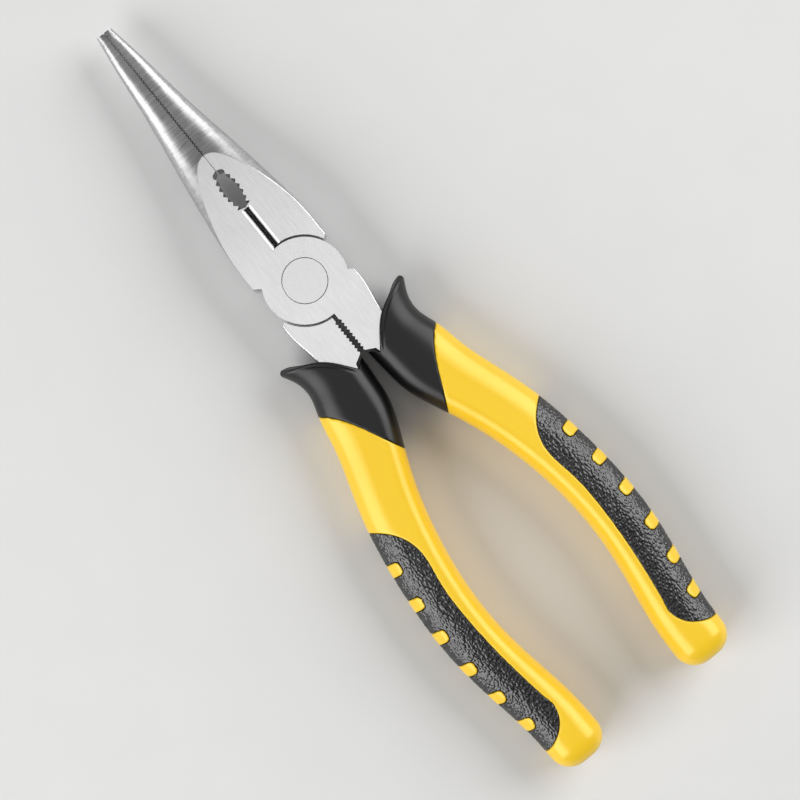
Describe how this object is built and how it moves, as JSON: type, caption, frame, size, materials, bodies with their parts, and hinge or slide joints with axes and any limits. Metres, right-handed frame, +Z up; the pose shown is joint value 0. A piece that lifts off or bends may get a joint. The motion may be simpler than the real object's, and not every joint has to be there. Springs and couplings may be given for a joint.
{
  "type": "needle nose pliers",
  "caption": "Long nose pliers with side cutter, pipe grip and crimping slot, lap joint, and two-colour moulded grips with finger guards.",
  "frame": {"origin": "hinge axis where it meets the ground cheek on the underside of the joint", "axes": "+Y to the jaw tips, +Z up along the hinge axis when the tool lies flat, +X to the right handle"},
  "size_m": [0.059, 0.2038, 0.0145],
  "materials": {
    "steel": "ground flat cheeks, brushed tapered nose, polished to a satin shine",
    "rivet_steel": "ground flush with the cheeks",
    "yellow_grip": "glossy moulded yellow",
    "black_guard": "smooth satin black elastomer",
    "black_pad": "leather-grained black elastomer"
  },
  "bodies": {
    "rear": {"rear_half": "steel", "pivot_rivet": "rivet_steel", "left_sleeve": "yellow_grip", "left_collar": "black_guard", "left_pad": "black_pad"},
    "front": {"front_half": "steel", "right_sleeve": "yellow_grip", "right_collar": "black_guard", "right_pad": "black_pad"}
  },
  "joints": [
    {"name": "pivot", "type": "hinge", "parent": "rear", "child": "front", "pos_m": [0, 0, 0.00525], "axis": [0, 0, 1], "range_deg": [0, 47]}
  ]
}
